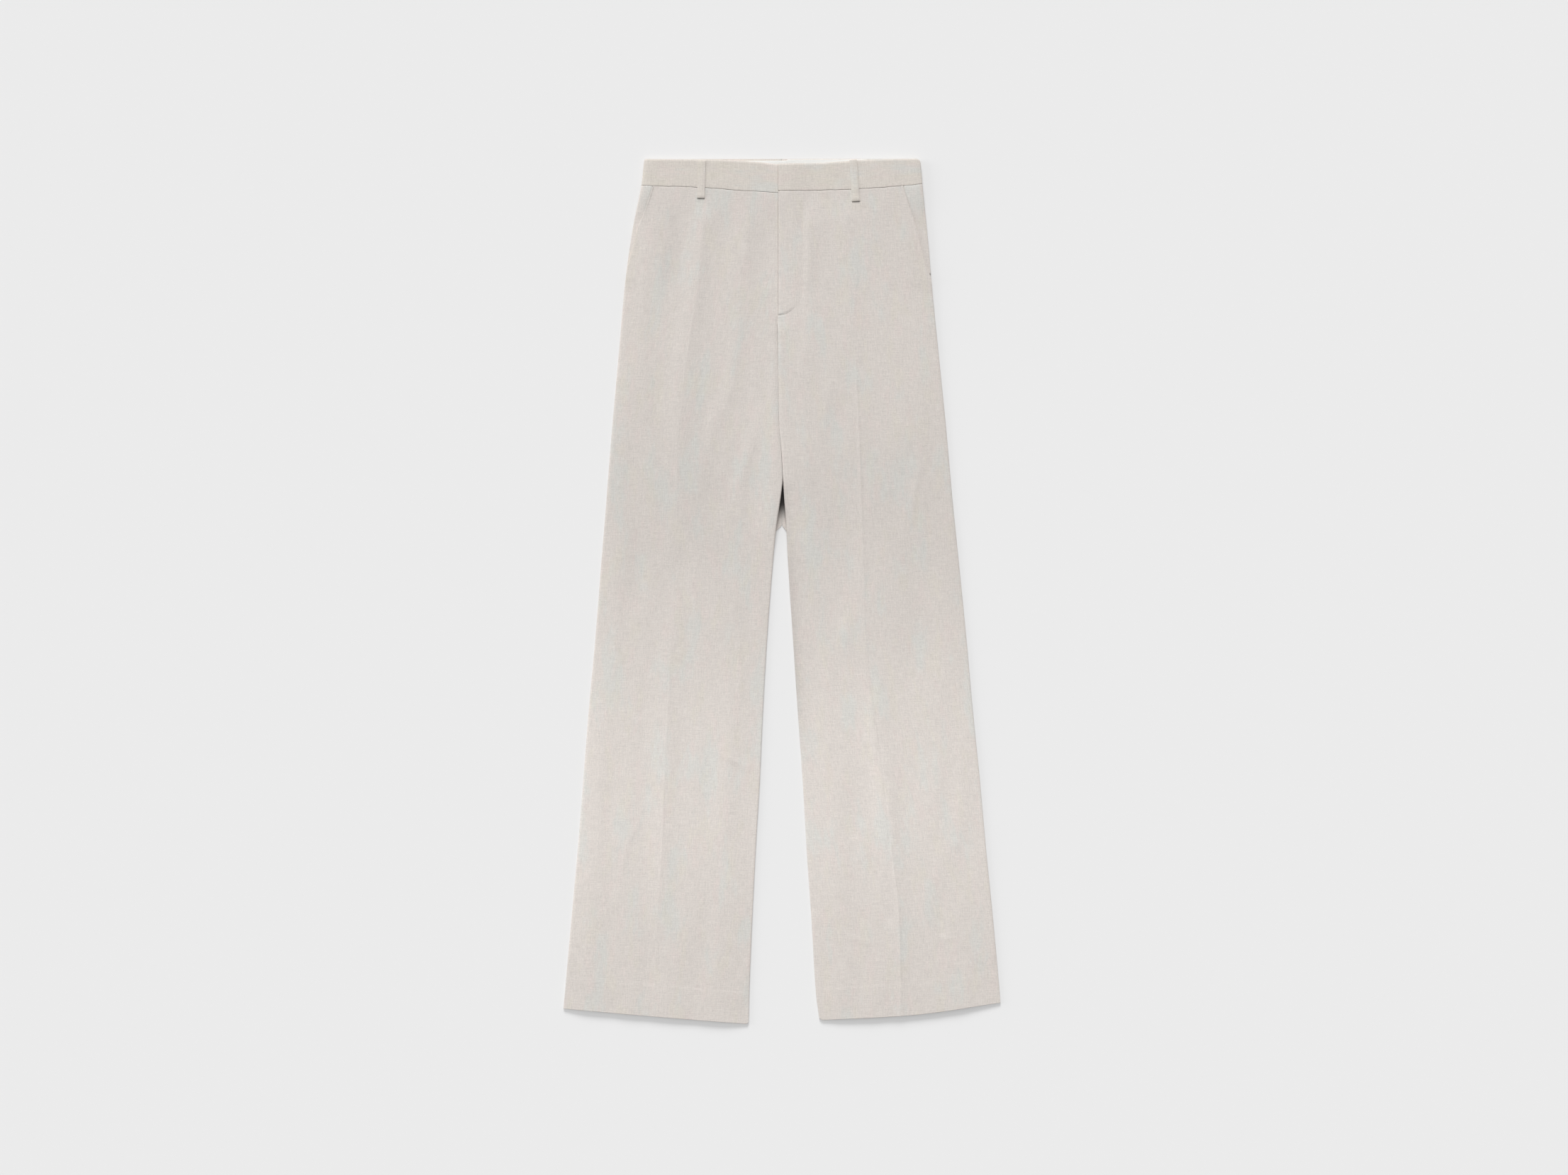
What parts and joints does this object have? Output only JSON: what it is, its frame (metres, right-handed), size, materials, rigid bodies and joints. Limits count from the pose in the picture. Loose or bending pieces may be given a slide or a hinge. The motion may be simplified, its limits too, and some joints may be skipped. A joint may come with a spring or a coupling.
{
  "type": "tailored trousers",
  "caption": "Wide-leg tailored trousers of linen-blend cloth, laid flat with the front up, with a concealed fly, slanted pockets and belt loops.",
  "frame": {"origin": "on the surface that the trousers lie on, under the middle of their bounding box", "axes": "+X to the wearer's left, which is the viewer's right; +Y up the garment to the waistband; +Z out of the front, away from the surface"},
  "size_m": [0.5577, 1.1044, 0.009],
  "materials": {
    "linen": "plain-woven linen blend, light beige, with slubs, matte and softly pressed",
    "lining": "fine plain-woven white cotton, matte"
  },
  "bodies": {
    "root": {"front_right": "linen", "front_left": "linen", "back_right": "linen", "back_left": "linen", "pocket_facing_right": "linen", "pocket_facing_left": "linen", "waistband_front_right": "linen", "waistband_front_left": "linen", "waistband_back_right": "linen", "waistband_back_left": "linen", "waistband_lining_back": "lining", "belt_loop_front_right": "linen", "belt_loop_front_left": "linen", "belt_loop_back_right": "linen", "belt_loop_back_left": "linen", "belt_loop_back_centre": "linen"}
  },
  "joints": []
}
